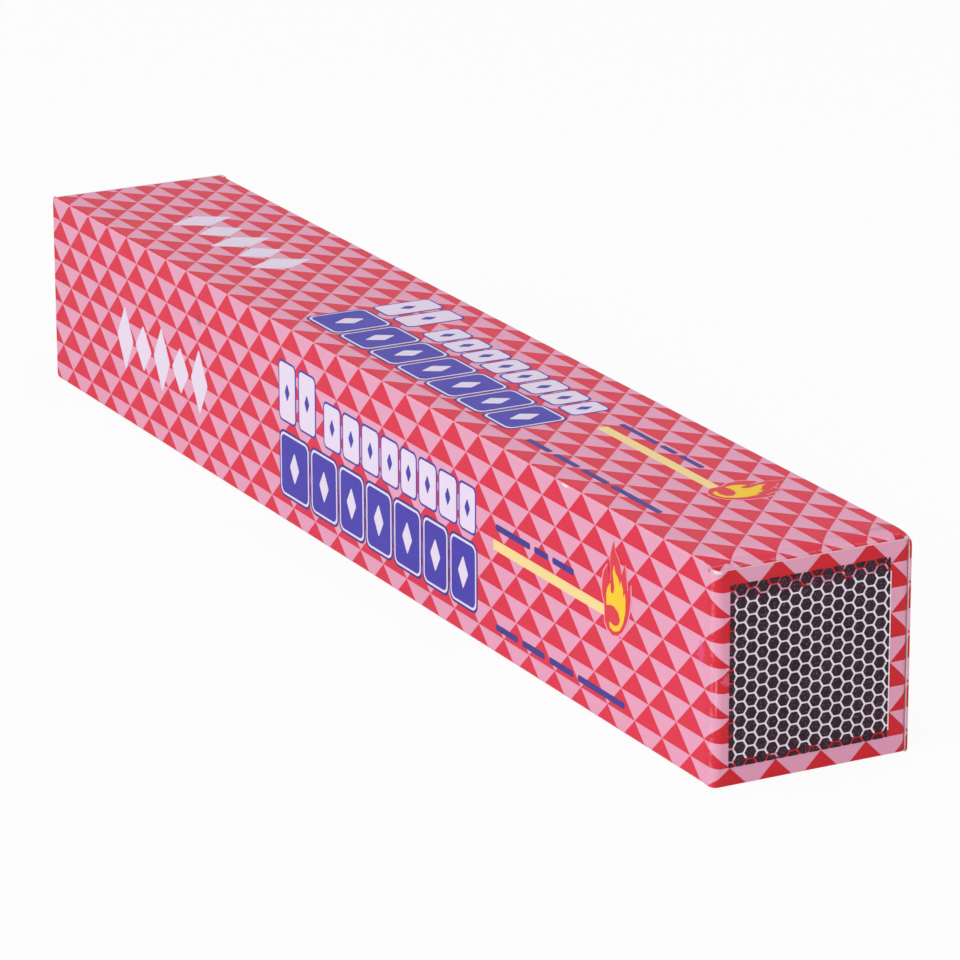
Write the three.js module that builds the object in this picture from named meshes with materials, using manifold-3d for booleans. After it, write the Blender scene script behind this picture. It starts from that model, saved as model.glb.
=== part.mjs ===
// A long carton of fireplace matches: one folded sheet of board, closed at each end by a flap that
// swings on a side panel and tucks in behind the opposite one, with a striking patch of abrasive
// dots on the near flap and a stack of long matches lying inside.
// Millimetres, +Z up. The origin is under the middle of the box, +Y runs along it to the far end.

import * as THREE from 'three';
import { mergeGeometries, mergeVertices } from 'three/addons/utils/BufferGeometryUtils.js';
import Module from 'manifold-3d';

// Carton, measured over its outer faces
const cartonLength = 290;
const cartonWidth = 41;
const cartonHeight = 42;
const board = 0.45;
const longEdgeRadius = 0.8;
const glueStripWidth = 12;
const glueStripSetback = 16;

// End flaps
const hingeFoldRadius = 3;
const tabLength = 12;
const tabInset = 1.2;
const tabCornerRadius = 8;
const tabFoldRadius = 1;
const closureDrop = 1;
const dustFlapLength = 11;
const dustFlapTaper = 2.5;
const dustFlapCornerRadius = 3;
const crispFoldRadius = 0.8;

// The near end's top panel sags before its fold; the far end's bottom panel only folds roundly
const nearSoftFold = { radius: 1, sagRadius: 27, sagAngle: THREE.MathUtils.degToRad(14) };
const farSoftFold = { radius: 1.2, sagRadius: 27, sagAngle: 0 };

// Clearances between pieces that touch on the real box
const restGap = 0.3;
const tabGap = 0.3;
const matchGap = 0.35;

// Striking patch, placed from the near flap's hinge side and from the top of the box
const strikerLeft = 3.2;
const strikerDrop = 3.8;
const strikerWidth = 33.3;
const strikerHeight = 34.5;
const strikerFilm = 0.05;
const strikerDotHeight = 0.12;
const dotPitch = 2.5;
const dotColumnPitch = 2.24;
const dotSpacing = 0.35;
const firstColumn = 0.05;
const firstDotDrop = 2.4;

// Matches
const matchCount = 40;
const matchLength = 280;
const splintSide = 3;
const headDiameter = 4.3;
const headLength = 6;
const matchScatter = 1.4;

const left = -cartonWidth / 2;
const right = cartonWidth / 2;
const nearFace = (strikerDotHeight - cartonLength) / 2;
const farFace = (strikerDotHeight + cartonLength) / 2;

const boardFinish = { color: 0xe4657f, roughness: 0.42, metalness: 0 };
const strikerFinish = { color: 0x3c2830, roughness: 0.8, metalness: 0 };
const splintColour = new THREE.Color(0xe6cb98);
const headColour = new THREE.Color(0xb3202c);

// How an outline's own X and Y, and the way it is extruded, lie in the model
const alongX = new THREE.Matrix4().makeBasis(
  new THREE.Vector3(0, 1, 0), new THREE.Vector3(0, 0, 1), new THREE.Vector3(1, 0, 0));
const againstY = new THREE.Matrix4().makeBasis(
  new THREE.Vector3(1, 0, 0), new THREE.Vector3(0, 0, 1), new THREE.Vector3(0, -1, 0));

const wasm = await Module();
wasm.setup();

function solid(geometry) {
  const bare = geometry.clone();
  bare.deleteAttribute('normal');
  bare.deleteAttribute('uv');
  const merged = mergeVertices(bare, 1e-5);
  return new wasm.Manifold(new wasm.Mesh({
    numProp: 3,
    vertProperties: new Float32Array(merged.attributes.position.array),
    triVerts: new Uint32Array(merged.index.array),
  }));
}

function geometryOf(body) {
  const mesh = body.getMesh();
  const geometry = new THREE.BufferGeometry();
  geometry.setAttribute('position', new THREE.BufferAttribute(mesh.vertProperties, 3));
  geometry.setIndex(new THREE.BufferAttribute(mesh.triVerts, 1));
  const faceted = geometry.toNonIndexed();
  faceted.computeVertexNormals();
  return faceted;
}

// An outline in the YZ plane, extruded along +X from x = start
function prismAlongX(outline, start, depth, curveSegments = 6) {
  const geometry = new THREE.ExtrudeGeometry(outline, { depth, bevelEnabled: false, curveSegments });
  return geometry.applyMatrix4(alongX).translate(start, 0, 0);
}

// An outline in the XZ plane, extruded along -Y from y = start
function prismAgainstY(outline, start, depth, curveSegments = 2) {
  const geometry = new THREE.ExtrudeGeometry(outline, { depth, bevelEnabled: false, curveSegments });
  return geometry.applyMatrix4(againstY).translate(0, start, 0);
}

function block(low, high) {
  const size = high.map((value, axis) => value - low[axis]);
  const geometry = new THREE.BoxGeometry(...size);
  return solid(geometry.translate(...low.map((value, axis) => value + size[axis] / 2)));
}

function roundedRectangle(x0, y0, x1, y1, radius, path = new THREE.Shape()) {
  path.moveTo(x0 + radius, y0);
  path.lineTo(x1 - radius, y0);
  path.absarc(x1 - radius, y0 + radius, radius, -Math.PI / 2, 0, false);
  path.lineTo(x1, y1 - radius);
  path.absarc(x1 - radius, y1 - radius, radius, 0, Math.PI / 2, false);
  path.lineTo(x0 + radius, y1);
  path.absarc(x0 + radius, y1 - radius, radius, Math.PI / 2, Math.PI, false);
  path.lineTo(x0, y0 + radius);
  path.absarc(x0 + radius, y0 + radius, radius, Math.PI, Math.PI * 1.5, false);
  return path;
}

// Each end is worked out in a frame of its own: x from the hinge side to the free side, y from the
// flap's outer face into the box, z from the crisp fold's panel to the soft fold's panel. That is
// the near end as it stands. The far end is the same turned over and round, mirrored through a point.
const nearEnd = new THREE.Matrix4().makeTranslation(left, nearFace, 0);
const farEnd = new THREE.Matrix4().makeTranslation(right, farFace, cartonHeight)
  .multiply(new THREE.Matrix4().makeScale(-1, -1, -1));

function placed(geometry, end) {
  const moved = geometry.clone().applyMatrix4(end);
  if (end.determinant() > 0) return moved;
  const { array } = moved.attributes.position;
  for (let corner = 0; corner < array.length; corner += 9) {
    const second = array.slice(corner + 3, corner + 6);
    array.copyWithin(corner + 3, corner + 6, corner + 9);
    array.set(second, corner + 6);
  }
  moved.computeVertexNormals();
  return moved;
}

// Depths and heights in an end's own frame
const dustFlapFace = board + restGap;
const innerReach = cartonWidth - board - tabGap;
const tabTip = board + tabLength;
const flapTop = cartonHeight - closureDrop;

// The end flap seen from above: a soft fold off the side panel, the closing panel, and the tuck tab,
// curved about the fold's start so that it swings out past the opposite panel without touching it
function flapPlan() {
  const r = hingeFoldRadius;
  const tabInner = innerReach - board;
  const innerFold = tabFoldRadius - board;
  const angleAt = (depth, radius) => Math.asin((depth - r) / radius);
  const pointAt = (depth, radius) => [Math.sqrt(radius ** 2 - (depth - r) ** 2), depth];
  const outerCorner = pointAt(0, innerReach)[0];
  const innerCorner = pointAt(board, tabInner)[0];
  const innerTabStart = board + innerFold;
  const plan = new THREE.Shape();
  plan.moveTo(0, r);
  plan.absarc(r, r, r, Math.PI, Math.PI * 1.5, false);
  plan.lineTo(outerCorner - tabFoldRadius, 0);
  plan.quadraticCurveTo(outerCorner, 0, ...pointAt(tabFoldRadius, innerReach));
  plan.absarc(0, r, innerReach, angleAt(tabFoldRadius, innerReach), angleAt(tabTip, innerReach), false);
  plan.lineTo(...pointAt(tabTip, tabInner));
  plan.absarc(0, r, tabInner, angleAt(tabTip, tabInner), angleAt(innerTabStart, tabInner), true);
  plan.quadraticCurveTo(innerCorner, board, innerCorner - innerFold, board);
  plan.lineTo(r, board);
  plan.absarc(r, r, r - board, Math.PI * 1.5, Math.PI, true);
  return plan;
}

function endFlap() {
  const sheet = new THREE.ExtrudeGeometry(flapPlan(), {
    depth: flapTop - restGap, bevelEnabled: false, curveSegments: 4,
  }).translate(0, 0, restGap);
  const beyond = cartonWidth + board;
  const tabOutline = roundedRectangle(
    -tabCornerRadius, restGap + tabInset, tabTip + board, flapTop - tabInset, tabCornerRadius);
  const tabShape = solid(prismAlongX(tabOutline, 0, beyond, 4));
  const besideTab = block(
    [cartonWidth / 2, board + tabFoldRadius, -board],
    [beyond, tabTip + board, cartonHeight],
  ).subtract(tabShape);
  return geometryOf(solid(sheet).subtract(besideTab));
}

// The face of one end, from the sagging or plainly folded panel round to the crisp fold opposite, as
// the outline of all that lies outside it. A depth of 0 gives the outer face, board the inner one.
function outsideFolds({ radius, sagRadius, sagAngle }, depth) {
  const up = Math.PI / 2;
  const foldY = dustFlapFace + radius;
  const foldZ = cartonHeight - sagRadius + (sagRadius - radius) * Math.cos(sagAngle);
  const sagY = foldY + (sagRadius - radius) * Math.sin(sagAngle);
  const sagZ = cartonHeight - sagRadius;
  const crispY = dustFlapFace + crispFoldRadius;
  const above = cartonHeight + board;
  const outline = new THREE.Shape();
  outline.moveTo(sagY, above);
  outline.lineTo(sagY, cartonHeight - depth);
  if (sagAngle > 0) outline.absarc(sagY, sagZ, sagRadius - depth, up, up + sagAngle, false);
  outline.absarc(foldY, foldZ, radius - depth, up + sagAngle, Math.PI, false);
  outline.lineTo(dustFlapFace + depth, crispFoldRadius);
  outline.absarc(crispY, crispFoldRadius, crispFoldRadius - depth, Math.PI, Math.PI * 1.5, false);
  outline.lineTo(crispY, -board);
  outline.lineTo(-board, -board);
  outline.lineTo(-board, above);
  return outline;
}

// The same for the free side panel, whose corner is drawn down by the sagging panel and rounded
function outsideSide({ radius, sagRadius, sagAngle }) {
  const up = Math.PI / 2;
  const sagY = dustFlapFace + radius + (sagRadius - radius) * Math.sin(sagAngle);
  const cornerY = sagY - sagRadius * Math.sin(sagAngle);
  const cornerZ = cartonHeight - sagRadius * (1 - Math.cos(sagAngle));
  const above = cartonHeight + board;
  const outline = new THREE.Shape();
  outline.moveTo(sagY, above);
  outline.lineTo(sagY, cartonHeight);
  if (sagAngle > 0) outline.absarc(sagY, cartonHeight - sagRadius, sagRadius, up, up + sagAngle, false);
  outline.lineTo(cornerY, cornerZ);
  outline.quadraticCurveTo(0, cornerZ - cornerY * Math.tan(sagAngle), 0, cornerZ - cornerY);
  outline.lineTo(-board, cornerZ - cornerY);
  outline.lineTo(-board, above);
  return outline;
}

function dustFlapOutline() {
  const hingeSide = hingeFoldRadius + restGap;
  const freeSide = innerReach - board - restGap;
  const tip = cartonHeight - dustFlapLength;
  const r = dustFlapCornerRadius;
  const outline = new THREE.Shape();
  outline.moveTo(hingeSide, cartonHeight);
  outline.lineTo(hingeSide + dustFlapTaper, tip + r);
  outline.quadraticCurveTo(hingeSide + dustFlapTaper, tip, hingeSide + dustFlapTaper + r, tip);
  outline.lineTo(freeSide - dustFlapTaper - r, tip);
  outline.quadraticCurveTo(freeSide - dustFlapTaper, tip, freeSide - dustFlapTaper, tip + r);
  outline.lineTo(freeSide, cartonHeight);
  return outline;
}

// An outline for the soft fold's panel, turned over for the panel across from it
function overturned(outline) {
  const points = outline.getPoints(6).map(({ x, y }) => new THREE.Vector2(x, cartonHeight - y));
  return new THREE.Shape(points);
}

// What one end takes off a solid bar, and what it takes off the hollow inside the bar
function outsideOfEnd(softFold) {
  const panels = solid(prismAlongX(outsideFolds(softFold, 0), -board, cartonWidth));
  return panels.add(solid(prismAlongX(outsideSide(softFold), cartonWidth - board, board * 2)));
}

function outsideOfHollow(softFold) {
  return solid(prismAlongX(outsideFolds(softFold, board), -board, cartonWidth + board * 2));
}

// The room that the end flap needs: beside the dust flaps, and round its own fold
function flapRoom() {
  const clear = flapTop + restGap;
  const middle = cartonHeight / 2;
  const behind = dustFlapFace + board + tabGap;
  const inner = cartonWidth - board;
  const thickness = board * 4;
  const topFlap = solid(prismAgainstY(dustFlapOutline(), behind + board, thickness));
  const bottomFlap = solid(prismAgainstY(overturned(dustFlapOutline()), behind + board, thickness));
  const besideTopFlap = block([-board, -board, middle], [inner, behind, clear]).subtract(topFlap);
  const besideBottomFlap = block([-board, -board, -board], [inner, behind, middle]).subtract(bottomFlap);
  const r = hingeFoldRadius;
  const insideFold = new THREE.CylinderGeometry(
    r - board - restGap, r - board - restGap, cartonHeight * 2, 32);
  const roundFold = block([-board, -board, -board], [r, r + restGap, clear])
    .subtract(solid(insideFold.rotateX(Math.PI / 2).translate(r, r, 0)));
  return besideTopFlap.add(besideBottomFlap).add(roundFold);
}

// The strip that closes the sheet into a tube, glued inside the panel across from the near hinge
function glueStrip() {
  const start = nearFace + glueStripSetback;
  const end = farFace - glueStripSetback;
  const low = board / 2;
  const high = board + glueStripWidth;
  const outline = new THREE.Shape();
  outline.moveTo(start, low);
  outline.lineTo(end, low);
  outline.lineTo(end - glueStripWidth / 2, high);
  outline.lineTo(start + glueStripWidth / 2, high);
  return prismAlongX(outline, right - board * 2, board * 1.5);
}

function cartonSleeve() {
  const outside = roundedRectangle(left, 0, right, cartonHeight, longEdgeRadius);
  const inside = roundedRectangle(
    left + board, board, right - board, cartonHeight - board, longEdgeRadius - board);
  let bar = solid(prismAgainstY(outside, farFace, cartonLength));
  let hollow = solid(prismAgainstY(inside, farFace, cartonLength));
  for (const [end, softFold] of [[nearEnd, nearSoftFold], [farEnd, farSoftFold]]) {
    const inPlace = (body) => solid(placed(geometryOf(body), end));
    bar = bar.subtract(inPlace(outsideOfEnd(softFold))).subtract(inPlace(flapRoom()));
    hollow = hollow.subtract(inPlace(outsideOfHollow(softFold)));
  }
  return geometryOf(bar.subtract(hollow.subtract(solid(glueStrip()))));
}

function hexagonOutline(x, z, acrossFlats) {
  const outline = new THREE.Shape();
  for (let corner = 0; corner < 6; corner += 1) {
    const angle = corner * Math.PI / 3;
    const radius = acrossFlats / Math.sqrt(3);
    const point = [x + radius * Math.cos(angle), z + radius * Math.sin(angle)];
    if (corner === 0) outline.moveTo(...point);
    else outline.lineTo(...point);
  }
  return outline;
}

// The striking patch in the near end's frame: abrasive dots standing on a film as thin as a print
function strikingPatch() {
  const top = cartonHeight - strikerDrop;
  const low = [strikerLeft, -strikerDotHeight, top - strikerHeight];
  const high = [strikerLeft + strikerWidth, 0, top];
  const dots = [];
  const columns = Math.ceil(strikerWidth / dotColumnPitch);
  const rows = Math.ceil(strikerHeight / dotPitch) + 1;
  for (let column = 0; column <= columns; column += 1) {
    for (let row = 0; row <= rows; row += 1) {
      const x = strikerLeft + firstColumn + column * dotColumnPitch;
      const z = top + firstDotDrop - (row + (column % 2) / 2) * dotPitch;
      const dot = hexagonOutline(x, z, dotPitch - dotSpacing);
      dots.push(prismAgainstY(dot, -strikerFilm / 2, strikerDotHeight - strikerFilm / 2));
    }
  }
  const film = block([low[0], -strikerFilm, low[2]], high);
  return geometryOf(solid(mergeGeometries(dots)).intersect(block(low, high)).add(film));
}

// A match lies along its own +Y, from the tip of the head to the end of the square splint: a turned
// shape of eight sides whose splint is squared
function matchGeometry() {
  const r = headDiameter / 2;
  const half = splintSide / 2;
  const profile = [
    [0, 0], [0.72 * r, 0.08 * headLength], [r, 0.38 * headLength], [0.9 * r, 0.75 * headLength],
    [half, headLength], [half, matchLength], [0, matchLength],
  ].map(([radius, along]) => new THREE.Vector2(radius, along));
  const geometry = new THREE.LatheGeometry(profile, 8).toNonIndexed();
  const position = geometry.attributes.position;
  const colours = [];
  for (let corner = 0; corner < position.count; corner += 1) {
    const across = Math.max(Math.abs(position.getX(corner)), Math.abs(position.getZ(corner)));
    if (position.getY(corner) > headLength - matchGap && across > matchGap) {
      const grown = half / across;
      position.setX(corner, position.getX(corner) * grown);
      position.setZ(corner, position.getZ(corner) * grown);
    }
    const first = corner - corner % 3;
    const reach = Math.max(...[0, 1, 2].map((step) => position.getY(first + step)));
    colours.push(...(reach > headLength + matchGap ? splintColour : headColour).toArray());
  }
  geometry.setAttribute('color', new THREE.Float32BufferAttribute(colours, 3));
  geometry.computeVertexNormals();
  return geometry;
}

// Where each match lies: rows nested in one another, the heads' rows a little taller than the
// splints', and all of them turned slightly so that both ends miss the tuck tab beside them
function matchPlaces() {
  const pitch = headDiameter + matchGap;
  const headRow = pitch * Math.sqrt(3) / 2;
  const splintRow = splintSide + matchGap;
  const tabReach = innerReach - board;
  const tabIntrusion = cartonWidth - board - Math.sqrt(tabReach ** 2 - (tabTip - hingeFoldRadius) ** 2);
  const headsLeft = left + board + matchGap + headDiameter / 2;
  const splintsLeft = left + board + tabIntrusion + matchGap + splintSide / 2;
  const headsRoom = cartonWidth - board * 2 - tabIntrusion - matchGap * 2 - headDiameter;
  const perRow = Math.floor(headsRoom / pitch) + 1;
  const endRoom = (cartonLength - matchLength) / 2;
  const places = [];
  for (let row = 0; places.length < matchCount; row += 1) {
    const slots = perRow - row % 2;
    const inRow = Math.min(slots, matchCount - places.length);
    for (let index = 0; index < inRow; index += 1) {
      const slot = Math.floor((index + 0.5) * slots / inRow) + (row % 2) / 2;
      const scatter = matchScatter * Math.sin(7.3 * places.length);
      const head = new THREE.Vector3(
        headsLeft + slot * pitch,
        nearFace + endRoom + scatter,
        board + matchGap + headDiameter / 2 + row * headRow);
      const tail = new THREE.Vector3(
        splintsLeft + slot * pitch,
        head.y + matchLength,
        board + matchGap + splintSide / 2 + row * splintRow);
      places.push({ head, tail });
    }
  }
  return places;
}

const matchbox = new THREE.Group();

function addPiece(name, geometry, finish) {
  const piece = new THREE.Mesh(geometry, new THREE.MeshStandardMaterial(finish));
  piece.name = name;
  matchbox.add(piece);
  return piece;
}

addPiece('carton_sleeve', cartonSleeve(), boardFinish);
addPiece('striker_end_flap', placed(endFlap(), nearEnd), boardFinish);
addPiece('striking_patch', placed(strikingPatch(), nearEnd), strikerFinish);
addPiece('plain_end_flap', placed(endFlap(), farEnd), boardFinish);

const match = matchGeometry();
matchPlaces().forEach(({ head, tail }, index) => {
  const name = `match_${String(index + 1).padStart(2, '0')}`;
  const piece = addPiece(name, match, { vertexColors: true, roughness: 0.75, metalness: 0 });
  const along = tail.clone().sub(head).normalize();
  piece.position.copy(head);
  piece.quaternion.setFromUnitVectors(new THREE.Vector3(0, 1, 0), along);
});

export default matchbox;
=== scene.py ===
"""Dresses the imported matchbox: a long printed carton with tuck ends, and its long wooden matches."""
import math
import random

import bmesh
import bpy
from mathutils import Matrix, Vector


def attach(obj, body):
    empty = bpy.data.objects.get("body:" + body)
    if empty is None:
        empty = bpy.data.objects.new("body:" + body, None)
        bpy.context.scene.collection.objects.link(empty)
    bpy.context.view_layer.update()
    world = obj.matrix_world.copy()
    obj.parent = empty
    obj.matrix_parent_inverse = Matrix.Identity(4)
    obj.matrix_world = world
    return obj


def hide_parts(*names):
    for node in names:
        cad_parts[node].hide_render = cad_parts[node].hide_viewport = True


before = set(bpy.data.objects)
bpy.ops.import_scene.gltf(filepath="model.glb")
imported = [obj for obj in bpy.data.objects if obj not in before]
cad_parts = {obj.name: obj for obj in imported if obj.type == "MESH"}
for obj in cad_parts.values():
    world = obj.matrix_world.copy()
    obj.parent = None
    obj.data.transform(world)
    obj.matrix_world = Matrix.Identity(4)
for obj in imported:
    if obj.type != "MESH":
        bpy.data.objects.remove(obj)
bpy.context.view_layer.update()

# The viewpoint: a long lens from low on the left of the striking end. Its place and turn were solved
# from the seven corners of the box that can be seen.
viewpoint = bpy.data.cameras.new("viewpoint")
viewpoint.lens = 201.7
viewpoint.sensor_width = 36.0
viewpoint.sensor_fit = "HORIZONTAL"
viewpoint.clip_start = 0.05
camera = bpy.data.objects.new("viewpoint", viewpoint)
camera.matrix_world = Matrix(
    (
        (0.883106, 0.146143, -0.445832, -0.4773),
        (-0.469168, 0.270292, -0.840728, -0.9180),
        (-0.002362, 0.951622, 0.307262, 0.3480),
        (0.0, 0.0, 0.0, 1.0),
    )
)
bpy.context.scene.collection.objects.link(camera)
bpy.context.scene.camera = camera


# The carton: one sheet of folding boxboard, 0.45 mm thick, printed and varnished outside and bare white
# inside, glued into a square tube. Sizes are in mm. The flat print is placed by u, from the far end, and
# by v, down from the fold between the top and the left panel.
MM = 0.001
carton_width = 41.0
carton_height = 42.0
near_face = -144.94
far_face = 145.06
fold_radius = 3.0
fold_shortening = 0.9
fold_arc = fold_radius * math.pi / 2 * fold_shortening
triangle_step = 10.1
triangle_step_on_ends = 9.45
end_print_stretch = triangle_step / triangle_step_on_ends
soft_fold_drop = 1.5
board_thickness = 0.45
# how far from the box's middle the faces of the side panels, their folds and the end stretches lie
outer_face_x = 20.1
side_panel_x = 19.9
side_fold_x = 19.7
end_stretch_y = 125.0
long_fold_reach = 6.0
crisp_angle = math.radians(35)


def merged_sheet(cad_node):
    """A copy of a folded CAD sheet with its doubled points merged and its flat panels made whole."""
    sheet = bmesh.new()
    sheet.from_mesh(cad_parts[cad_node].data)
    bmesh.ops.remove_doubles(sheet, verts=sheet.verts, dist=1e-6)
    bmesh.ops.dissolve_limit(
        sheet, angle_limit=math.radians(0.4), verts=sheet.verts, edges=sheet.edges
    )
    return sheet


def finished_piece(shape, name, finishes, body):
    """A shape made an object in the scene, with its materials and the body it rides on."""
    mesh = bpy.data.meshes.new(name)
    shape.to_mesh(mesh)
    shape.free()
    for finish in finishes:
        mesh.materials.append(finish)
    piece = bpy.data.objects.new(name, mesh)
    bpy.context.scene.collection.objects.link(piece)
    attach(piece, body)
    return piece


def board_piece(sheet, name, cad_node, body):
    """The finished sheet in place of the CAD node, evenly shaded over its folds."""
    piece = finished_piece(sheet, name, (printed_side, bare_side, cut_edge), body)
    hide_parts(cad_node)
    piece.data.shade_smooth()
    piece.data.set_sharp_from_angle(angle=crisp_angle)
    shading = piece.modifiers.new("even folds", "WEIGHTED_NORMAL")
    shading.keep_sharp = True
    shading.weight = 100


def flap_place(point, turned):
    """How far a point lies from the flap's fold side, and how deep it lies behind the end face."""
    if turned:
        return carton_width / 2 - point.x, far_face - point.y
    return point.x + carton_width / 2, point.y - near_face


def sheet_side(centre, normal):
    """0 for a face on the printed side of the sleeve, 1 for the bare side, 2 for a cut edge."""
    along = normal.y * math.copysign(1, centre.y)
    across = normal.x * math.copysign(1, centre.x)
    if abs(centre.x) > outer_face_x and across > 0.2:
        return 0
    if centre.z > carton_height - long_fold_reach and normal.z > 0.2:
        return 0
    if centre.z < long_fold_reach and normal.z < -0.2:
        return 0
    if abs(centre.x) < side_panel_x and along > 0.3 and abs(centre.y) > end_stretch_y:
        return 0
    if along > 0.7 and abs(centre.x) > side_panel_x:
        return 0
    if abs(centre.y) > end_stretch_y and (along > 0.7 or across > 0.5):
        return 2
    return 1


def sleeve_print(point, centre, normal):
    """Where a point of the sleeve lies on the flat print."""
    drop = carton_height - point.z
    across = point.x + carton_width / 2
    if abs(normal.y) > 0.7 and abs(centre.x) > side_panel_x:
        if centre.x * centre.y < 0:
            past_the_fold = (across - fold_radius) * end_print_stretch
            return far_face - near_face - fold_radius + fold_arc + past_the_fold, drop
        return far_face - centre.y, drop
    outwards = -math.copysign(1, centre.y)
    u = far_face - point.y
    upper = centre.z > carton_height / 2
    if centre.x > side_fold_x:
        return u, -across - drop
    if centre.x < -side_fold_x:
        return u, drop - across if upper else drop + across
    if upper:
        return u + outwards * max(0.0, drop - soft_fold_drop), min(drop, soft_fold_drop) - across
    return (
        u + outwards * max(0.0, point.z - soft_fold_drop),
        carton_height - min(point.z, soft_fold_drop) + across,
    )


def node(tree, kind, settings=None, **sockets):
    """A shader node with its settings, and each input set to a value or joined to a socket."""
    made = tree.nodes.new(kind)
    for name, value in (settings or {}).items():
        setattr(made, name, value)
    for name, value in sockets.items():
        socket = made.inputs[int(name[1:])] if name[0] == "_" else made.inputs[name.replace("_", " ")]
        if isinstance(value, bpy.types.NodeSocket):
            tree.links.new(value, socket)
        else:
            socket.default_value = value
    return made


def calc(tree, operation, first, second=0.0, clamp=False):
    """The result socket of one sum."""
    settings = {"operation": operation, "use_clamp": clamp}
    return node(tree, "ShaderNodeMath", settings, _0=first, _1=second).outputs[0]


def blend_colour(tree, amount, first, second):
    """The result socket of a mix of two colours."""
    settings = {"data_type": "RGBA"}
    return node(tree, "ShaderNodeMix", settings, _0=amount, _6=first, _7=second).outputs[2]


def shade(red, green, blue):
    """A colour given by its 0 to 255 values on a screen."""
    parts = [part / 255 for part in (red, green, blue)]
    linear = [p / 12.92 if p < 0.04045 else ((p + 0.055) / 1.055) ** 2.4 for p in parts]
    return (*linear, 1.0)


def effect(name, inputs, outputs):
    """An empty node group that takes a place and named values, and puts out named masks or values."""
    group = bpy.data.node_groups.new(name, "ShaderNodeTree")
    group.interface.new_socket("Place", in_out="INPUT", socket_type="NodeSocketVector")
    for title, value in inputs.items():
        kind = "NodeSocketVector" if isinstance(value, tuple) else "NodeSocketFloat"
        group.interface.new_socket(title, in_out="INPUT", socket_type=kind).default_value = value
    for title in outputs:
        group.interface.new_socket(title, in_out="OUTPUT", socket_type="NodeSocketFloat")
    given = group.nodes.new("NodeGroupInput").outputs
    return group, given, group.nodes.new("NodeGroupOutput").inputs


def placed_effect(tree, group, place, **values):
    """One use of a node group in a material."""
    used = node(tree, "ShaderNodeGroup", {"node_tree": group})
    tree.links.new(place, used.inputs["Place"])
    for title, value in values.items():
        used.inputs[title.replace("_", " ")].default_value = value
    return used.outputs


def new_finish(name):
    """A material with one Principled shader, its node tree and that shader."""
    finish = bpy.data.materials.new(name)
    finish.use_nodes = True
    return finish, finish.node_tree, finish.node_tree.nodes["Principled BSDF"]


# rows of triangles: red ones that widen downwards on pink, each row half a step on from the last
triangle_rows, given, result = effect(
    "triangle rows", {"Row height": 4.75, "Step": triangle_step, "Start": 8.97, "Softness": 0.16}, ["Red"]
)
tree = triangle_rows
split = node(tree, "ShaderNodeSeparateXYZ", _0=given["Place"]).outputs
row = calc(tree, "DIVIDE", split[1], given["Row height"])
row_number = calc(tree, "FLOOR", row)
down_the_row = calc(tree, "SUBTRACT", row, row_number)
steps = calc(tree, "DIVIDE", calc(tree, "SUBTRACT", split[0], given["Start"]), given["Step"])
steps = calc(tree, "SUBTRACT", steps, calc(tree, "MULTIPLY", row_number, 0.5))
from_middle = calc(tree, "PINGPONG", steps, 0.5)
inside = calc(tree, "SUBTRACT", calc(tree, "MULTIPLY", down_the_row, 0.5), from_middle)
inside = calc(tree, "MULTIPLY", inside, given["Step"])
inside = calc(tree, "DIVIDE", inside, given["Softness"])
tree.links.new(calc(tree, "ADD", inside, 0.5, clamp=True), result["Red"])

# a worn spot: an ellipse on the print with a ragged, patchy edge
worn_spot, given, result = effect(
    "worn spot",
    {"Middle": (0.0, 0.0, 0.0), "Reach": (1.0, 1.0, 1.0), "Ragged": 0.6, "Grain": 1.5},
    ["Worn"],
)
tree = worn_spot
place = given["Place"]
away = node(tree, "ShaderNodeVectorMath", {"operation": "SUBTRACT"}, _0=place, _1=given["Middle"])
away = node(tree, "ShaderNodeVectorMath", {"operation": "DIVIDE"}, _0=away.outputs[0], _1=given["Reach"])
away = node(tree, "ShaderNodeVectorMath", {"operation": "LENGTH"}, _0=away.outputs[0]).outputs["Value"]
patchy = node(tree, "ShaderNodeTexNoise", Vector=place, Scale=given["Grain"], Detail=4.0, Roughness=0.65)
patchy = calc(tree, "MULTIPLY", calc(tree, "SUBTRACT", patchy.outputs[0], 0.5), given["Ragged"])
rubbed = calc(tree, "SUBTRACT", calc(tree, "SUBTRACT", 1.0, away), calc(tree, "MULTIPLY", patchy, 3.0))
tree.links.new(calc(tree, "MULTIPLY", rubbed, 4.0, clamp=True), result["Worn"])

# a fold line: the print is thin and cracked along one line of the flat sheet
cracked_fold, given, result = effect(
    "cracked fold", {"Along": (0.0, 1.0, 0.0), "Line": 0.0, "Reach": 0.35, "Amount": 0.5}, ["Worn"]
)
tree = cracked_fold
place = given["Place"]
beside = node(tree, "ShaderNodeVectorMath", {"operation": "DOT_PRODUCT"}, _0=place, _1=given["Along"])
beside = calc(tree, "SUBTRACT", beside.outputs["Value"], given["Line"])
beside = calc(tree, "DIVIDE", calc(tree, "ABSOLUTE", beside), given["Reach"])
broken = node(tree, "ShaderNodeTexNoise", Vector=place, Scale=0.7, Detail=5.0, Roughness=0.7).outputs[0]
broken = calc(tree, "MULTIPLY", calc(tree, "SUBTRACT", broken, 0.42), 5.0, clamp=True)
cracked = calc(tree, "MULTIPLY", calc(tree, "SUBTRACT", 1.0, beside, clamp=True), broken)
tree.links.new(calc(tree, "MULTIPLY", cracked, given["Amount"]), result["Worn"])

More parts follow.
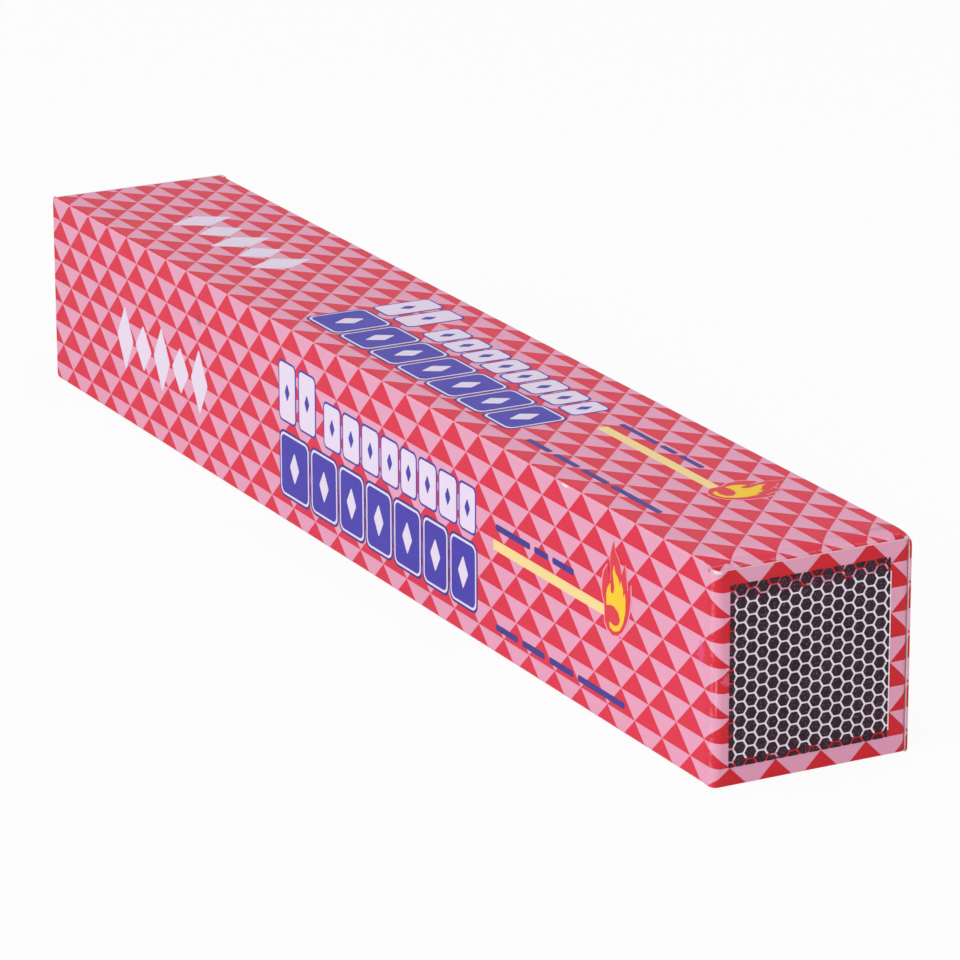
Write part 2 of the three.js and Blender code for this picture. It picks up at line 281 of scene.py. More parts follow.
# the sheet's surface: fine fibres under the varnish, a slight unevenness of ink, and soft handling marks
board_surface, given, result = effect(
    "board surface",
    {"Fibre": 3.0, "Least roughness": 0.4, "Spread": 0.12},
    ["Roughness", "Height", "Mottle"],
)
tree = board_surface
place = given["Place"]
fibres = node(tree, "ShaderNodeTexNoise", Vector=place, Scale=given["Fibre"], Detail=3.0, Roughness=0.6)
fibres = fibres.outputs[0]
handling = node(tree, "ShaderNodeTexNoise", Vector=place, Scale=0.12, Detail=2.0).outputs[0]
waves = node(tree, "ShaderNodeTexNoise", Vector=place, Scale=0.045, Detail=1.0).outputs[0]
rougher = calc(tree, "MULTIPLY", handling, given["Spread"])
tree.links.new(calc(tree, "ADD", given["Least roughness"], rougher), result["Roughness"])
height = calc(tree, "ADD", calc(tree, "MULTIPLY", fibres, 0.02), calc(tree, "MULTIPLY", waves, 0.5))
tree.links.new(height, result["Height"])
tree.links.new(calc(tree, "MULTIPLY", fibres, 0.05), result["Mottle"])


def raised(tree, shader, height, strength, distance):
    """A height made a slight relief on a material."""
    relief = node(tree, "ShaderNodeBump", Strength=strength, Distance=distance, Height=height)
    tree.links.new(relief.outputs[0], shader.inputs["Normal"])


def object_place(tree, scale=1.0):
    """The place on the piece itself, in metres, or scaled."""
    place = node(tree, "ShaderNodeTexCoord").outputs["Object"]
    if scale == 1.0:
        return place
    return node(tree, "ShaderNodeVectorMath", {"operation": "SCALE"}, _0=place, Scale=scale).outputs[0]


# the printed side, with the marks of handling where they lie on the flat print
triangle_red = shade(223, 27, 63)
# a darker red for the end panels: painted shade, for the sheen that the side and top panels catch and the
# ends don't
end_painted_shade_red = shade(212, 8, 32)
triangle_pink = shade(233, 163, 192)
bare_white = shade(243, 238, 240)
varnish_shine = 0.12
board_bump = 0.0001
printed_side, tree, shader = new_finish("varnished triangle print")
place = node(tree, "ShaderNodeUVMap", {"uv_map": "flat print"}).outputs[0]
red_there = placed_effect(tree, triangle_rows, place)["Red"]
u_there = node(tree, "ShaderNodeSeparateXYZ", _0=place).outputs[0]
# the red turns darker over the near and far end panels: painted shade blended into the printed red
near_end = node(tree, "ShaderNodeMapRange", Value=u_there, From_Min=287.0, From_Max=291.0).outputs[0]
far_end = node(tree, "ShaderNodeMapRange", Value=u_there, From_Min=3.0, From_Max=-1.0).outputs[0]
red_with_painted_end_shade = blend_colour(tree, calc(tree, "MAXIMUM", near_end, far_end), triangle_red, end_painted_shade_red)
printed = blend_colour(tree, red_there, triangle_pink, red_with_painted_end_shade)
surface = placed_effect(tree, board_surface, place)
printed = blend_colour(tree, surface["Mottle"], printed, bare_white)
worn = placed_effect(tree, cracked_fold, place, Line=0.0, Reach=0.4, Amount=0.35)["Worn"]
for fold in (
    {"Along": (1.0, 0.0, 0.0), "Line": 288.6, "Reach": 0.5, "Amount": 0.22},
    {"Along": (0.0, 1.0, 0.0), "Line": 41.8, "Reach": 0.4, "Amount": 0.3},
    {"Along": (0.0, 1.0, 0.0), "Line": -41.2, "Reach": 0.4, "Amount": 0.3},
):
    worn = calc(tree, "MAXIMUM", worn, placed_effect(tree, cracked_fold, place, **fold)["Worn"])
for bare_corner in (
    {"Middle": (289.3, 0.8, 0), "Reach": (0.9, 0.55, 1), "Ragged": 0.7, "Grain": 1.6},
    {"Middle": (235.0, 0.3, 0), "Reach": (1.6, 0.35, 1), "Ragged": 0.8, "Grain": 1.8},
):
    worn = calc(tree, "MAXIMUM", worn, placed_effect(tree, worn_spot, place, **bare_corner)["Worn"])


def marked(printed, colour, strength, middle, reach, ragged, grain):
    """The print with one ragged mark on it."""
    spot = {"Middle": (*middle, 0), "Reach": (*reach, 1), "Ragged": ragged, "Grain": grain}
    there = placed_effect(tree, worn_spot, place, **spot)["Worn"]
    return blend_colour(tree, calc(tree, "MULTIPLY", there, strength), printed, colour)


pink_rub = shade(232, 92, 150)
pale_rub = shade(244, 130, 160)
grey_smudge = shade(110, 70, 90)
dark_speck = shade(90, 45, 60)
printed = marked(printed, pink_rub, 0.5, (285.1, 17.2), (1.3, 2.2), 1.1, 1.3)
printed = marked(printed, pale_rub, 0.4, (291.0, 21.4), (0.9, 1.1), 1.1, 1.6)
printed = marked(printed, grey_smudge, 0.45, (75.5, 9.2), (1.4, 1.0), 0.7, 1.2)
printed = blend_colour(tree, calc(tree, "MULTIPLY", worn, 0.9), printed, bare_white)
printed = marked(printed, bare_white, 0.2, (289.3, 24.0), (0.16, 5.0), 0.9, 2.2)
printed = marked(printed, dark_speck, 0.55, (287.7, 1.3), (0.3, 0.3), 0.2, 2.0)
tree.links.new(printed, shader.inputs["Base Color"])
worn_dull = calc(tree, "ADD", surface["Roughness"], calc(tree, "MULTIPLY", worn, 0.3))
tree.links.new(worn_dull, shader.inputs["Roughness"])
raised(tree, shader, surface["Height"], 0.35, board_bump)
shader.inputs["Specular IOR Level"].default_value = varnish_shine

# the bare inside and the cut edges
inside_white = shade(236, 233, 228)
inside_grey = shade(170, 160, 150)
bare_side, tree, shader = new_finish("bare white boxboard")
surface = placed_effect(tree, board_surface, object_place(tree, 1 / MM), Fibre=2.2, Least_roughness=0.75)
board_colour = blend_colour(tree, surface["Mottle"], inside_white, inside_grey)
tree.links.new(board_colour, shader.inputs["Base Color"])
tree.links.new(surface["Roughness"], shader.inputs["Roughness"])
raised(tree, shader, surface["Height"], 0.5, board_bump)

cut_edge, tree, shader = new_finish("cut edge of boxboard")
plies = node(tree, "ShaderNodeTexNoise", Vector=object_place(tree), Scale=4000.0, Detail=3.0).outputs[0]
edge_colour = blend_colour(tree, plies, shade(216, 178, 190), shade(236, 208, 216))
tree.links.new(edge_colour, shader.inputs["Base Color"])
shader.inputs["Roughness"].default_value = 0.85

sheet = merged_sheet("carton_sleeve")
flat_print = sheet.loops.layers.uv.new("flat print")
for face in sheet.faces:
    centre = face.calc_center_median() / MM
    face.material_index = sheet_side(centre, face.normal)
    for loop in face.loops:
        loop[flat_print].uv = sleeve_print(loop.vert.co / MM, centre, face.normal)

# the side panels' cut ends are drawn up to the hinge folds of the two end flaps
hinge_gap = 0.4
left_open = 0.01
for vert in sheet.verts:
    turned = vert.co.x > 0
    across, deep = flap_place(vert.co / MM, turned)
    if across < board_thickness + 0.01 and fold_radius < deep < fold_radius + hinge_gap:
        vert.co.y += (deep - fold_radius - left_open) * MM * (1 if turned else -1)
board_piece(sheet, "carton_board", "carton_sleeve", "carton")

# the fold of the near top dust flap runs on to both corners, past where the flap's own sides are cut back
corner_front = -144.19
corner_strip_thickness = 0.35
corner_profile = (
    (-142.9, 41.08), (-143.44, 41.17), (-143.63, 41.11), (-143.82, 40.99), (-143.98, 40.83), (-144.09, 40.65),
    (-144.16, 40.44), (corner_front, 40.2), (corner_front, 39.7),
)
for name, left, right in (("fold_corner_left", -19.95, -16.6), ("fold_corner_right", 16.6, 19.1)):
    strip = bmesh.new()
    points = [strip.verts.new((left, y, z)) for y, z in corner_profile]
    edges = [strip.edges.new(pair) for pair in zip(points, points[1:])]
    widened = bmesh.ops.extrude_edge_only(strip, edges=edges)["geom"]
    moved = [part for part in widened if isinstance(part, bmesh.types.BMVert)]
    bmesh.ops.translate(strip, verts=moved, vec=(right - left, 0, 0))
    bmesh.ops.solidify(strip, geom=strip.faces[:], thickness=corner_strip_thickness)
    front = min(vert.co.y for vert in strip.verts)
    bmesh.ops.translate(strip, verts=strip.verts, vec=(0, corner_front - front, 0))
    bmesh.ops.recalc_face_normals(strip, faces=strip.faces)
    flat_print = strip.loops.layers.uv.new("flat print")
    for face in strip.faces:
        for loop in face.loops:
            x, y, z = loop.vert.co
            loop[flat_print].uv = (far_face - y + carton_height - z, -(x + carton_width / 2))
    bmesh.ops.scale(strip, vec=(MM, MM, MM), verts=strip.verts)
    piece = finished_piece(strip, name, (printed_side,), "carton")
    piece.data.shade_smooth()
    piece.data.set_sharp_from_angle(angle=crisp_angle)


# The end flaps: the same sheet goes on over a soft fold into a closing panel with a rounded tuck tab. The
# near flap hangs on the left panel and the far one on the right panel, so they open opposite ways.
tuck_fold_reach = 1.2
tab_start = 37.0
tab_end_depth = 9.0
loose_fold_radius = 2.0
pressed_tighter = 0.8
pressed_reach = 8.0
tuck_fold_start = 37.5
tuck_fold_shift = 0.32
raised_corner_height = 40.9
raised_corner_lift = 0.28
flap_rest_gap = 0.3
# the heights at which the sheet gets cross lines, so that its fold can be pressed tighter at the ends
cut_levels = (2, 4, 6, 8, 34, 36, 38, 40)


def flap_side(centre, normal, turned):
    """0 for a face on the printed side of a flap, 1 for the bare side, 2 for a cut edge."""
    across, deep = flap_place(centre, turned)
    sign = -1 if turned else 1
    towards = Vector((normal.x * sign, normal.y * sign))
    if abs(normal.z) > 0.5:
        return 2
    if across < 1 and towards.y > 0.7:
        return 0
    if across < fold_radius and deep < fold_radius:
        from_middle = Vector((across - fold_radius, deep - fold_radius))
        return 0 if towards.dot(from_middle) > 0 else 1
    if deep < tuck_fold_reach and towards.y < -0.1:
        return 0
    if across > tab_start and towards.x > 0.3:
        return 0
    if deep > tab_end_depth and towards.y > 0.6:
        return 2
    return 1


def press_home(sheet, turned):
    """How each point moves when the closed flap is pressed home, and where on the print its fold lies.

    The soft fold is pressed tighter, most of all at its ends, and the tuck fold meets the side panel.
    """
    plane = (carton_width / 2 - fold_radius - 0.1) * (1 if turned else -1)
    cuts = [((plane * MM, 0, 0), (1, 0, 0))]
    cuts += [((0, 0, level * MM), (0, 0, 1)) for level in cut_levels]
    for point, normal in cuts:
        whole = sheet.verts[:] + sheet.edges[:] + sheet.faces[:]
        bmesh.ops.bisect_plane(sheet, geom=whole, plane_co=point, plane_no=normal)
    shifts = {}
    reaches = {}
    sign = -1 if turned else 1
    for vert in sheet.verts:
        height = vert.co.z / MM
        across, deep = flap_place(vert.co / MM, turned)
        if across > tuck_fold_start:
            outwards = tuck_fold_shift * sign * min(1.0, across - tuck_fold_start)
            shifts[vert] = Vector((outwards, 0, 0)) * MM
        if across > fold_radius + 0.01 or deep > fold_radius + 0.01:
            continue
        into_the_ends = max(height - (carton_height - pressed_reach), pressed_reach - height)
        pressed = min(1.0, max(0.0, into_the_ends / pressed_reach))
        radius = loose_fold_radius - pressed_tighter * pressed * pressed * (3 - 2 * pressed)
        out = Vector((across - fold_radius, deep - fold_radius))
        wall = fold_radius - out.length
        turn = math.atan2(-out.y, -out.x)
        lift = raised_corner_lift * (1 - across / fold_radius) if height > raised_corner_height else 0.0
        if turn < 0.01:
            reaches[vert] = 0.0
            shifts[vert] = Vector((0, 0, lift)) * MM
            continue
        straight = fold_radius - radius
        whole_way = 2 * straight + radius * math.pi / 2
        reaches[vert] = fold_arc * (straight + radius * turn) / whole_way
        place = Vector((radius, radius)) + out.normalized() * (radius - wall)
        shifts[vert] = Vector(((place.x - across) * sign, (place.y - deep) * sign, lift)) * MM
    return shifts, reaches


def flap_print(vert, turned, corner, reaches):
    """Where a point of a flap lies on the flat print."""
    across, deep = flap_place(vert.co / MM, turned)
    drop = carton_height - vert.co.z / MM - flap_rest_gap * min(1.0, across / fold_radius)
    if vert in reaches:
        reach = reaches[vert]
    else:
        reach = fold_arc + (min(across, corner) - fold_radius) * end_print_stretch
        if across > corner - tuck_fold_reach:
            reach += deep
    if turned:
        return fold_radius - reach, -carton_width - drop
    return far_face - near_face - fold_radius + reach, drop


for flap_node, flap_name, flap_body, turned in (
    ("striker_end_flap", "striker_flap_board", "striker_flap", False),
    ("plain_end_flap", "plain_flap_board", "plain_flap", True),
):
    sheet = merged_sheet(flap_node)
    flat_print = sheet.loops.layers.uv.new("flat print")
    corner = max(flap_place(vert.co / MM, turned)[0] for vert in sheet.verts)
    shifts, reaches = press_home(sheet, turned)
    for face in sheet.faces:
        centre = face.calc_center_median() / MM
        face.material_index = flap_side(centre, face.normal, turned)
        for loop in face.loops:
            loop[flat_print].uv = flap_print(loop.vert, turned, corner, reaches)
    for vert, shift in shifts.items():
        vert.co += shift
    board_piece(sheet, flap_name, flap_node, flap_body)


# The striking patch: a gritty dark paste screened on as hexagonal dots over a white patch on the near
# flap. The screen is cut off square, and on the left it runs past the white onto the triangles.
patch_left = 3.2
patch_right = 36.5
patch_top = 3.8
patch_bottom = 38.3
dot_columns = 16
dots_in_column = 16
first_column = 0.05
first_dot_drops = (1.19, 2.43)
dot_flats = 2.135
dot_pitch = 2.487
column_pitch = 2.24
dot_corner = 0.22
dot_film = 0.12
smallest_dot_area = 0.15
end_panel = Matrix.Translation(Vector((-carton_width / 2, near_face, carton_height)) * MM) @ Matrix(
    ((MM, 0, 0, 0), (0, 0, -MM, 0), (0, MM, 0, 0), (0, 0, 0, 1))
)


def film_piece(film, name, panel, level, thickness, finish, body):
    """Flat shapes, drawn in mm, given the film's thickness and laid on a panel."""
    bmesh.ops.translate(film, verts=film.verts, vec=(0, 0, level))
    film_top = bmesh.ops.extrude_face_region(film, geom=film.faces[:], use_keep_orig=True)["geom"]
    lifted = [part for part in film_top if isinstance(part, bmesh.types.BMVert)]
    bmesh.ops.translate(film, verts=lifted, vec=(0, 0, thickness))
    bmesh.ops.recalc_face_normals(film, faces=film.faces)
    bmesh.ops.transform(film, matrix=panel, verts=film.verts)
    return finished_piece(film, name, (finish,), body)


def printed_ink(name, colour, roughness=0.42):
    """A flat printed colour under the same varnish as the triangles."""
    finish, tree, shader = new_finish(name)
    surface = placed_effect(tree, board_surface, object_place(tree, 1 / MM), Least_roughness=roughness)
    ink_colour = blend_colour(tree, surface["Mottle"], colour, bare_white)
    tree.links.new(ink_colour, shader.inputs["Base Color"])
    tree.links.new(surface["Roughness"], shader.inputs["Roughness"])
    raised(tree, shader, surface["Height"], 0.35, board_bump)
    shader.inputs["Specular IOR Level"].default_value = varnish_shine
    return finish


striking_paste, tree, shader = new_finish("gritty striking paste")
place = object_place(tree)
grit = node(tree, "ShaderNodeTexVoronoi", Vector=place, Scale=7000.0)
grain_pick = node(tree, "ShaderNodeSeparateColor", _0=grit.outputs["Color"]).outputs[0]
glint = calc(tree, "GREATER_THAN", grain_pick, 0.93)
smear = node(tree, "ShaderNodeTexNoise", Vector=place, Scale=220.0, Detail=3.0).outputs[0]
paste = blend_colour(tree, smear, shade(42, 26, 36), shade(66, 44, 54))
paste = blend_colour(tree, calc(tree, "MULTIPLY", glint, 0.55), paste, shade(150, 118, 138))
tree.links.new(paste, shader.inputs["Base Color"])
shader.inputs["Roughness"].default_value = 0.72
shader.inputs["Specular IOR Level"].default_value = 0.125
raised(tree, shader, grit.outputs["Distance"], 0.6, 0.00005)

dots = bmesh.new()
for column in range(dot_columns):
    first_dot = first_dot_drops[column % 2]
    for row in range(dots_in_column):
        across = patch_left + first_column + column * column_pitch
        middle = Matrix.Translation((across, -first_dot - row * dot_pitch, 0))
        bmesh.ops.create_circle(
            dots,
            cap_ends=True,
            segments=6,
            radius=dot_flats / math.sqrt(3),
            matrix=middle @ Matrix.Rotation(math.radians(30), 4, "Z"),
        )
for edge_point, edge_normal in (
    ((patch_left, 0, 0), (-1, 0, 0)),
    ((patch_right, 0, 0), (1, 0, 0)),
    ((0, -patch_top, 0), (0, 1, 0)),
    ((0, -patch_bottom, 0), (0, -1, 0)),
):
    bmesh.ops.bisect_plane(
        dots,
        geom=dots.verts[:] + dots.edges[:] + dots.faces[:],
        plane_co=edge_point,
        plane_no=edge_normal,
        clear_outer=True,
    )
slivers = [face for face in dots.faces if face.calc_area() < smallest_dot_area]
bmesh.ops.delete(dots, geom=slivers, context="FACES")


def soften_corners(film, reach, segments):
    """Flat shapes given rounded corners."""
    bmesh.ops.bevel(
        film,
        geom=film.verts[:],
        offset=reach,
        affect="VERTICES",
        segments=segments,
        profile=0.5,
        material=-1,
        clamp_overlap=True,
    )


soften_corners(dots, dot_corner, 2)
dot_piece = film_piece(
    dots, "striking_dots", end_panel, 0.0, dot_film, striking_paste, "striker_flap"
)
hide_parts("striking_patch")


def blocks(*corners, rounding=0.0):
    """Flat blocks, each given by its left, top, right and bottom on the print, with rounded corners."""
    film = bmesh.new()
    for left, top, right, bottom in corners:
        outline = ((left, -bottom), (right, -bottom), (right, -top), (left, -top))
        film.faces.new([film.verts.new((*point, 0)) for point in outline])
    if rounding:
        soften_corners(film, rounding, 4)
    return film


white_ground = printed_ink("white ground of the striking patch", shade(253, 244, 255))
white_film = 0.05
sunk_in = 0.02
film_piece(
    blocks((4.2, 6.5, 36.8, 37.0)), "striking_ground", end_panel, -sunk_in, white_film, white_ground,
    "striker_flap",
)


# The print over the triangles on the left and the top panel: a band of pale blocks over a band of bold
# blue ones, two lines of small navy dashes, a row of pale lozenges near the far end, and a burning match.
left_panel = Matrix.Translation(Vector((-carton_width / 2, far_face, carton_height)) * MM) @ Matrix(
    ((0, 0, -MM, 0), (-MM, 0, 0, 0), (0, MM, 0, 0), (0, 0, 0, 1))
)
top_panel = Matrix.Translation(Vector((carton_width / 2, far_face, carton_height)) * MM) @ Matrix(
    ((0, MM, 0, 0), (-MM, 0, 0, 0), (0, 0, MM, 0), (0, 0, 0, 1))
)
ink_film = 0.03
navy_ink = printed_ink("navy ink", shade(52, 42, 140))
blue_ink = printed_ink("bold blue ink", shade(62, 52, 172))
pale_ink = printed_ink("pale lavender ink", shade(236, 224, 244))
stick_ink = printed_ink("pale yellow ink", shade(249, 224, 152))
flame_red = printed_ink("flame red ink", shade(226, 50, 66))
flame_line = printed_ink("flame outline ink", shade(248, 166, 186))
flame_yellow = printed_ink("flame yellow ink", shade(250, 208, 30))


def row_of_blocks(edges, widths, gap):
    """The edges of each block of a row whose widths keep the given proportions."""
    start, top, end, bottom = edges
    scale = (end - start - gap * (len(widths) - 1)) / sum(widths)
    corners = []
    for width in widths:
        corners.append((start, top, start + width * scale, bottom))
        start += width * scale + gap
    return corners


def bordered(corners, margin):
    """The same blocks with a border all round."""
    return [(a - margin, b - margin, c + margin, d + margin) for a, b, c, d in corners]


def lozenges(places, rounding):
    """Flat lozenges with softened points, each given by its middle and its half width and height."""
    film = bmesh.new()
    for u, v, half, tall in places:
        outline = ((u - half, -v), (u, -v - tall), (u + half, -v), (u, -v + tall))
        film.faces.new([film.verts.new((*point, 0)) for point in outline])
    soften_corners(film, rounding, 3)
    return film


flame_outline = (
    (253.4, 24.0), (251.6, 23.3), (250.5, 22.0), (250.5, 20.4), (250.4, 18.6), (249.5, 16.9), (249.5, 14.6),
    (250.1, 12.5), (251.6, 10.8), (252.1, 12.8), (252.5, 14.0), (252.7, 12.0), (252.4, 10.0), (252.6, 8.4),
    (253.7, 5.6), (254.2, 7.5), (255.7, 8.9), (256.7, 11.4), (257.9, 9.1), (258.4, 11.0), (258.9, 14.0),
    (259.9, 12.2), (260.1, 14.8), (259.8, 17.0), (258.9, 19.7), (257.3, 22.1), (255.5, 23.5),
)
flame_heart = (
    (252.3, 21.6), (252.5, 22.7), (254.0, 23.1), (256.0, 22.4), (257.4, 20.6), (258.2, 18.2), (258.3, 15.6),
    (257.9, 14.5), (257.4, 15.6), (257.3, 14.0), (256.5, 12.5), (256.2, 13.7), (255.6, 12.4), (254.4, 11.6),
    (253.9, 10.2), (253.5, 11.8), (253.8, 13.2), (254.1, 14.5), (253.8, 15.8), (253.0, 16.0), (252.7, 15.2),
    (252.6, 14.0), (251.5, 15.3), (251.1, 16.8), (251.2, 18.8), (252.6, 18.3), (254.0, 18.2), (255.6, 18.9),
    (256.3, 20.2), (255.8, 21.3), (254.2, 22.0),
)


flame_middle = (254.9, 15.2)
match_head_v = 20.2
upward_swell = 0.55


def drawn_shape(outline, squash, lean, shift, rounding, swell=1.0):
    """A flat shape with softened corners, swollen, then leaned and squashed about the match head."""
    film = bmesh.new()
    points = []
    for u, v in outline:
        u = flame_middle[0] + (u - flame_middle[0]) * swell
        v = flame_middle[1] + (v - flame_middle[1]) * (1 + (swell - 1) * upward_swell)
        up = v - match_head_v
        place = (u + lean * up + shift[0], -(match_head_v + squash * up + shift[1]), 0)
        points.append(film.verts.new(place))
    film.faces.new(points)
    soften_corners(film, rounding, 3)
    return film


# where each printed thing lies on its panel: the left, top, right and bottom of each row, and the start,
# the end and the middle line of the row of lozenges. The flame has its squash, its lean and its shift
panels = {
    "left": {
        "panel": left_panel,
        "tall pale row": (114.4, 7.8, 130.6, 20.0),
        "low pale row": (134.9, 11.4, 199.6, 20.4),
        "bold row": (115.0, 23.2, 199.6, 35.6),
        "upper dashes": (208.0, 15.7, 238.6, 17.0),
        "lower dashes": (208.0, 35.8, 258.0, 37.1),
        "lozenges": (33.0, 80.0, 23.0),
        "stick": (207.0, 19.0, 251.3, 21.1),
        "flame": (1.0, 0.0, (0.0, 0.0)),
    },
    "top": {
        "panel": top_panel,
        "tall pale row": (113.4, 6.4, 129.6, 19.0),
        "low pale row": (135.4, 11.0, 198.6, 19.0),
        "bold row": (114.0, 21.8, 200.0, 33.8),
        "upper dashes": (208.0, 13.2, 239.0, 14.4),
        "lower dashes": (208.0, 33.4, 258.5, 34.7),
        "lozenges": (30.0, 79.0, 21.0),
        "stick": (208.0, 16.8, 251.0, 19.1),
        "flame": (0.9, 0.08, (0.2, -2.6)),
    },
}
low_pale_widths = (7, 7, 7, 7, 6.2, 7, 7, 6.2)
bold_widths = (14.2, 12.6, 11.4, 11.8, 12.2, 10.8, 11.4)
lozenge_count = 5
lozenge_share = 0.44
lozenge_heights = (7.2, 5.2)
bold_lozenge = (2.1, 3.4)
pale_lozenge = (1.1, 1.9)

for side, lay in panels.items():
    pale = row_of_blocks(lay["tall pale row"], (1, 1), 2.0)
    pale += row_of_blocks(lay["low pale row"], low_pale_widths, 1.5)
    bold = row_of_blocks(lay["bold row"], bold_widths, 2.2)
    dashes = row_of_blocks(lay["upper dashes"], (6, 2.4, 3.6), 1.6)
    dashes += row_of_blocks(lay["lower dashes"], (4, 4, 4.2, 8), 1.8)
    start, end, line = lay["lozenges"]
    step = (end - start) / lozenge_count
    row_of_lozenges = [
        (start + step * (number + 0.5), line, step * lozenge_share, lozenge_heights[number % 2])
        for number in range(lozenge_count)
    ]
    bold_middles = [((a + c) / 2, (b + d) / 2, *bold_lozenge) for a, b, c, d in bold]
    pale_middles = [((a + c) / 2, (b + d) / 2, *pale_lozenge) for a, b, c, d in pale]
    flame = lay["flame"]
    for name, film, layer, finish in (
        ("pale_border", blocks(*bordered(pale, 0.45), rounding=1.4), 0, blue_ink),
        ("pale_blocks", blocks(*pale, rounding=1.1), 1, pale_ink),
        ("bold_border", blocks(*bordered(bold, 1.0), rounding=2.0), 0, navy_ink),
        ("bold_line", blocks(*bordered(bold, 0.5), rounding=1.7), 1, pale_ink),
        ("bold_blocks", blocks(*bold, rounding=1.4), 2, blue_ink),
        ("bold_lozenges", lozenges(bold_middles, 0.4), 3, pale_ink),
        ("pale_lozenges", lozenges(pale_middles, 0.25), 2, blue_ink),
        ("dashes", blocks(*dashes, rounding=0.5), 0, navy_ink),
        ("lozenges", lozenges(row_of_lozenges, 0.5), 0, pale_ink),
        ("match_stick", blocks(lay["stick"]), 0, stick_ink),
        ("flame_line", drawn_shape(flame_outline, *flame, 0.3, 1.07), 1, flame_line),
        ("flame", drawn_shape(flame_outline, *flame, 0.3), 2, flame_red),
        ("flame_heart", drawn_shape(flame_heart, *flame, 0.25), 3, flame_yellow),
    ):
        level = layer * ink_film
        film_piece(
            film, f"{side}_{name}", lay["panel"], level, ink_film, finish, "carton"
        )


# The matches: forty square splints of pale aspen, each dipped in a dark red head, lying loose along the
# carton with their heads towards the striking end.
splint_side = 3.0
splint_bevel = 0.22
head_width = 4.3
head_length = 6.0
splint_start = 0.52 * head_length
head_shoulder = 0.14
thinnest_head = 0.94
match_count = 40
random.seed(28)

splint_wood, tree, shader = new_finish("pale aspen")
along_the_grain = node(
    tree, "ShaderNodeMapping", Vector=object_place(tree), Scale=(900.0, 18.0, 900.0)
).outputs[0]
grain = node(tree, "ShaderNodeTexNoise", Vector=along_the_grain, Scale=1.0, Detail=5.0, Roughness=0.6)
grain = grain.outputs[0]
streaks = node(tree, "ShaderNodeTexNoise", Vector=along_the_grain, Scale=0.25, Detail=2.0).outputs[0]
wood = blend_colour(tree, grain, shade(232, 208, 168), shade(246, 230, 200))
wood = blend_colour(tree, calc(tree, "MULTIPLY", streaks, 0.3), wood, shade(206, 172, 124))
tree.links.new(wood, shader.inputs["Base Color"])
shader.inputs["Roughness"].default_value = 0.78
raised(tree, shader, grain, 0.5, 0.0002)

head_paste, tree, shader = new_finish("dark red match head")
lumps = node(
    tree, "ShaderNodeTexNoise", Vector=object_place(tree), Scale=1800.0, Detail=4.0, Roughness=0.6
).outputs[0]
head_colour = blend_colour(tree, lumps, shade(92, 16, 18), shade(140, 34, 30))
tree.links.new(head_colour, shader.inputs["Base Color"])
shader.inputs["Roughness"].default_value = 0.6
raised(tree, shader, lumps, 0.7, 0.0002)

for number in range(1, match_count + 1):
    match_node = f"match_{number:02d}"
    # the splint's line and turn are read from the CAD match
    points = [vert.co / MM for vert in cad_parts[match_node].data.vertices]
    tip = min(points, key=lambda point: point.y)
    tail_y = max(point.y for point in points)
    tail_points = [point for point in points if point.y > tail_y - 0.3]
    tail = sum(tail_points, Vector()) / len(tail_points)
    tips = [point for point in points if point.y < tip.y + 0.02]
    tip = sum(tips, Vector()) / len(tips)
    length = (tail - tip).length
    backwards = (tail - tip).normalized()
    corner = max(tail_points, key=lambda point: (point - tail).length) - tail
    corner = (corner - backwards * corner.dot(backwards)).normalized()
    sideways = Matrix.Rotation(math.radians(45), 3, backwards) @ corner
    upwards = sideways.cross(backwards)
    lie = Matrix((sideways, backwards, upwards)).transposed().to_4x4()
    lie.translation = tip

    match = bmesh.new()
    middle = Matrix.Translation((0, (length + splint_start) / 2, 0))
    size = Matrix.Diagonal((splint_side, length - splint_start, splint_side, 1))
    bmesh.ops.create_cube(match, size=1.0, matrix=middle @ size)
    bmesh.ops.bevel(
        match,
        geom=match.edges[:],
        offset=splint_bevel,
        affect="EDGES",
        segments=1,
        profile=0.5,
        material=-1,
    )
    head = bmesh.ops.create_uvsphere(match, u_segments=14, v_segments=9, radius=1.0)["verts"]
    bmesh.ops.rotate(match, verts=head, cent=(0, 0, 0), matrix=Matrix.Rotation(math.radians(90), 3, "X"))
    radius = head_width / 2 * random.uniform(thinnest_head, 1.0)
    for vert in head:
        wide = radius * (1.0 + head_shoulder * max(0.0, vert.co.y))
        vert.co = Vector((vert.co.x * wide, (vert.co.y + 1) * head_length / 2, vert.co.z * wide))
    for vert in head:
        for face in vert.link_faces:
            face.material_index = 1
            face.smooth = True
    bmesh.ops.transform(match, matrix=lie, verts=match.verts)
    bmesh.ops.scale(match, vec=(MM, MM, MM), verts=match.verts)
    bmesh.ops.recalc_face_normals(match, faces=match.faces)
    piece = finished_piece(match, f"long_{match_node}", (splint_wood, head_paste), "carton")
    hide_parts(match_node)
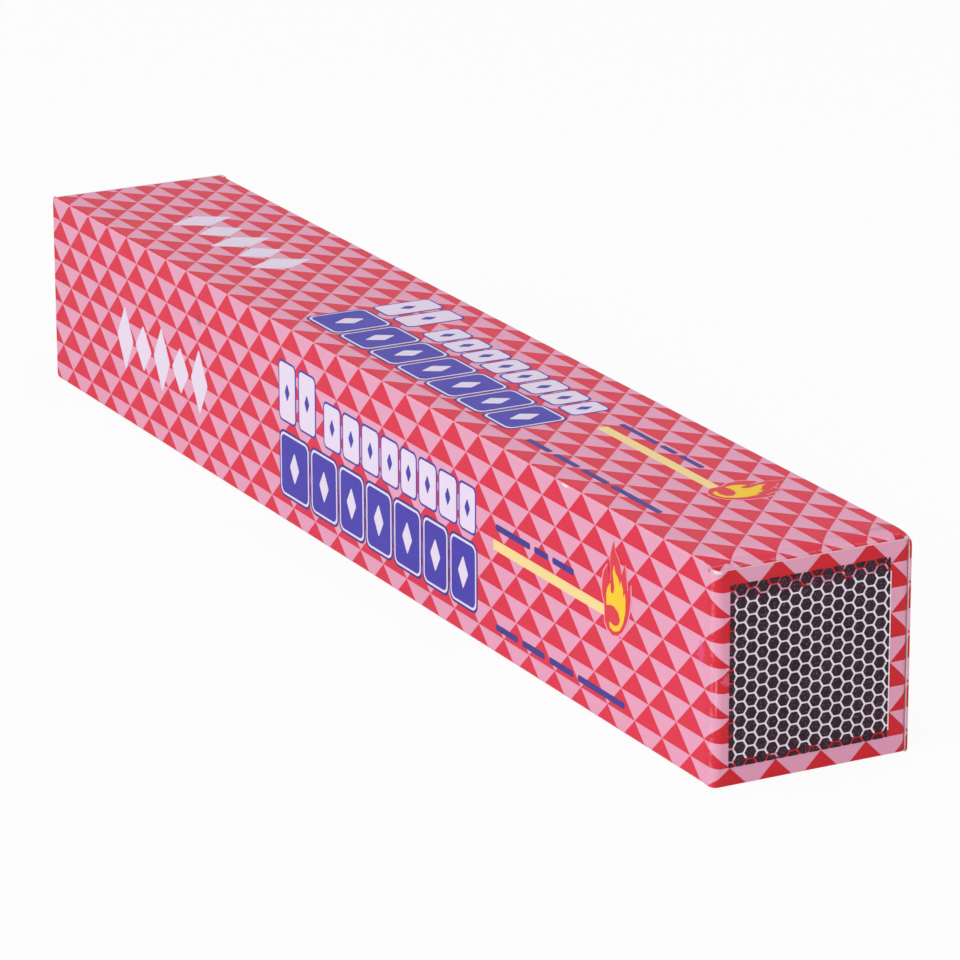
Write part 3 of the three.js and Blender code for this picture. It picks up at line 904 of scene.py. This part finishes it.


# The studio: the box lies on a plain pale sheet, lit softly from the front left, from above and from the
# right, so that its left side is the brightest and its end the deepest in colour; the ends' darker red
# in the print is painted shade too.
floor_sheet = bmesh.new()
bmesh.ops.create_grid(floor_sheet, x_segments=1, y_segments=1, size=4.0)
floor_mesh = bpy.data.meshes.new("studio_floor")
floor_sheet.to_mesh(floor_mesh)
floor_sheet.free()
studio_floor = bpy.data.objects.new("studio_floor", floor_mesh)
bpy.context.scene.collection.objects.link(studio_floor)
pale_floor, tree, shader = new_finish("pale studio floor")
shader.inputs["Base Color"].default_value = (0.93, 0.93, 0.93, 1.0)
shader.inputs["Roughness"].default_value = 0.9
shader.inputs["Specular IOR Level"].default_value = 0.1
lit = node(tree, "ShaderNodeEmission", Color=(1.0, 1.0, 1.0, 1.0), Strength=1.0)
rays = node(tree, "ShaderNodeLightPath").outputs
seen = calc(tree, "MAXIMUM", rays["Is Camera Ray"], rays["Is Glossy Ray"])
seen = calc(tree, "MAXIMUM", seen, rays["Is Transmission Ray"])
floor_mix = node(tree, "ShaderNodeMixShader", _0=calc(tree, "MULTIPLY", seen, 0.93))
tree.links.new(shader.outputs[0], floor_mix.inputs[1])
tree.links.new(lit.outputs[0], floor_mix.inputs[2])
tree.links.new(floor_mix.outputs[0], tree.nodes["Material Output"].inputs["Surface"])
floor_mesh.materials.append(pale_floor)

surroundings = bpy.data.worlds.new("white studio")
surroundings.use_nodes = True
bpy.context.scene.world = surroundings
tree = surroundings.node_tree
rays = node(tree, "ShaderNodeLightPath").outputs
seen = calc(tree, "MAXIMUM", rays["Is Camera Ray"], rays["Is Glossy Ray"])
seen = calc(tree, "MAXIMUM", seen, rays["Is Transmission Ray"])
tree.nodes["Background"].inputs["Color"].default_value = (1.0, 1.0, 1.0, 1.0)
brightness = node(tree, "ShaderNodeMapRange", Value=seen, To_Min=0.34, To_Max=1.0).outputs[0]
tree.links.new(brightness, tree.nodes["Background"].inputs["Strength"])

for name, place, size, watts in (
    ("left softbox", (-1.5, -0.5, 0.9), 1.2, 18.5),
    ("overhead softbox", (0.1, 0.1, 1.8), 1.4, 6.8),
    ("front softbox", (0.5, -1.8, 0.8), 1.0, 5.2),
):
    softbox = bpy.data.lights.new(name, "AREA")
    softbox.shape = "SQUARE"
    softbox.size = size
    softbox.energy = watts
    lamp = bpy.data.objects.new(name, softbox)
    lamp.location = place
    lamp.rotation_euler = (Vector((0, 0, 0.02)) - Vector(place)).to_track_quat("-Z", "Y").to_euler()
    bpy.context.scene.collection.objects.link(lamp)

bpy.context.scene.view_settings.view_transform = "Standard"
